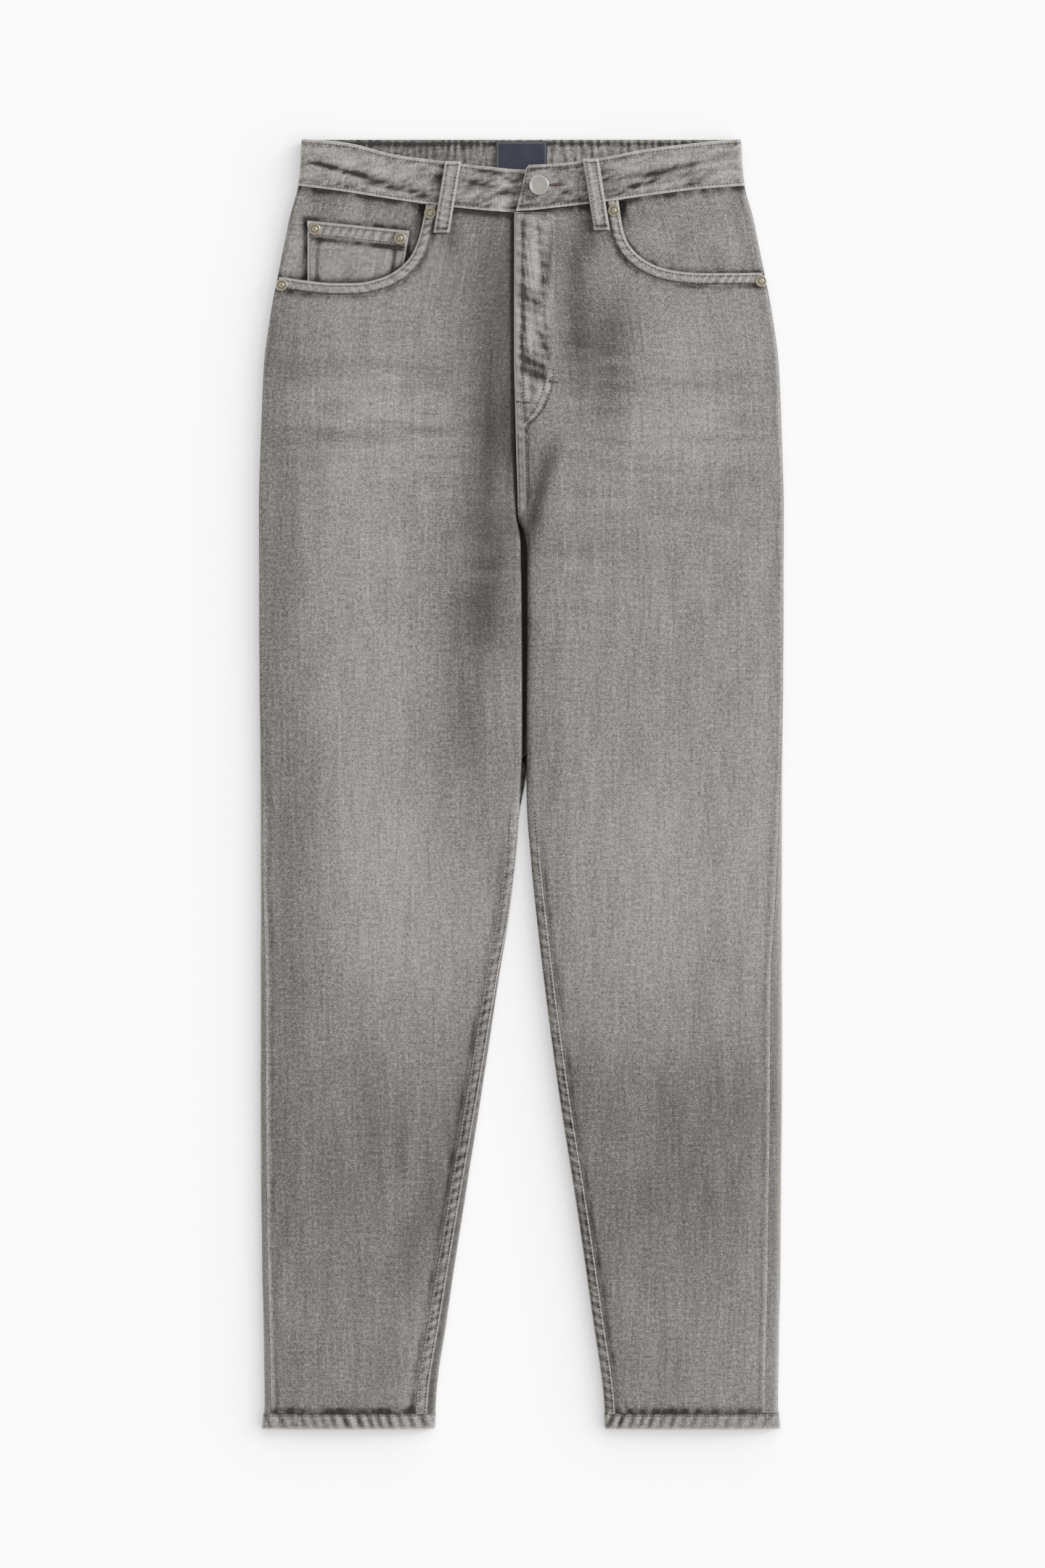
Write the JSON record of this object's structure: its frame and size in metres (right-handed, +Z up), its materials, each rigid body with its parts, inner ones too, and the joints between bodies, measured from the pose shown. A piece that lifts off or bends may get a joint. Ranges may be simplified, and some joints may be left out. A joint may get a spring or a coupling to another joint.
{
  "type": "mom jeans",
  "caption": "High-waisted tapered mom jeans in washed grey denim, laid flat on their back, with the panels lying on each other, scooped pockets, coin pocket, belt loops and shank button.",
  "frame": {"origin": "on the surface that the jeans lie on, under the middle of their outline", "axes": "+Y towards the waist, +X towards the wearer's left, +Z up off the surface, out of the front"},
  "size_m": [0.434, 1.0632, 0.0135],
  "materials": {
    "denim": "washed grey twill, matt",
    "denim_band": "washed grey twill, matt",
    "label_cloth": "woven, soft sheen",
    "zip_brass": "dull",
    "button_metal": "pale nickel, satin",
    "rivet_metal": "worn, satin"
  },
  "bodies": {
    "root": {"front_panel_right": "denim", "front_panel_left": "denim", "back_panel_right": "denim", "back_panel_left": "denim", "yoke_right": "denim", "yoke_left": "denim", "pocket_facing_right": "denim", "pocket_facing_left": "denim", "coin_pocket": "denim", "waistband": "denim_band", "belt_loop_front_right": "denim", "belt_loop_front_left": "denim", "back_pocket_right": "denim", "back_pocket_left": "denim", "belt_loop_back_1": "denim", "belt_loop_back_2": "denim", "belt_loop_back_3": "denim", "waist_label": "label_cloth", "zip": "zip_brass", "shank_button": "button_metal", "rivet_mouth_right_inner": "rivet_metal", "rivet_mouth_right_side": "rivet_metal", "rivet_mouth_left_inner": "rivet_metal", "rivet_mouth_left_side": "rivet_metal", "rivet_coin_outer": "rivet_metal", "rivet_coin_inner": "rivet_metal"}
  },
  "joints": []
}
